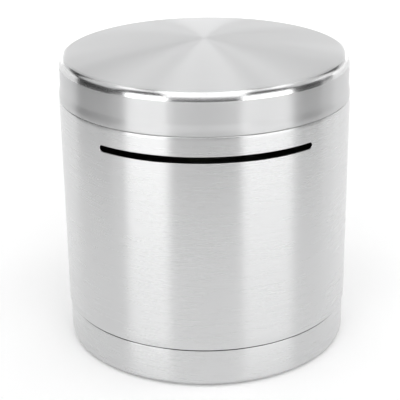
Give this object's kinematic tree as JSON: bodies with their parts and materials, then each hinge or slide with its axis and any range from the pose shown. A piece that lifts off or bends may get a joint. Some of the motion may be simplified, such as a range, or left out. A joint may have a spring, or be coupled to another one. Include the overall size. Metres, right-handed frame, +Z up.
{
  "type": "money box",
  "caption": "Round brushed stainless-steel money box with a curved slot in its side, a domed lid that slips over a collar, and a non-slip base.",
  "frame": {"origin": "centre of the face that the box stands on, the underside of its non-slip pad", "axes": "+Z up along the axis of the sleeve and the lid; the slot is centred on -Y, and +X is to the right of somebody facing the slot"},
  "size_m": [0.12, 0.12, 0.1287],
  "materials": {
    "brushed_steel": "fine horizontal brushing, satin",
    "lid_steel": "fine circular brushing, slightly glossier on the side",
    "inner_steel": "plain drawn sheet, dull",
    "silicone": "translucent grey silicone, matt",
    "foam_rubber": "black closed-cell foam rubber, matt"
  },
  "bodies": {
    "box": {"base_cap": "brushed_steel", "base_pad": "foam_rubber", "body_shell": "brushed_steel", "neck_collar": "inner_steel"},
    "band": {"neck_band": "silicone"},
    "lid": {"lid": "lid_steel"}
  },
  "joints": [
    {"name": "lid_turn", "type": "hinge", "parent": "box", "child": "band", "pos_m": [0, 0, 0.112], "axis": [0, 0, 1], "continuous": true},
    {"name": "lid_lift", "type": "slide", "parent": "band", "child": "lid", "axis": [0, 0, 1], "range_m": [0, 0.06]}
  ]
}
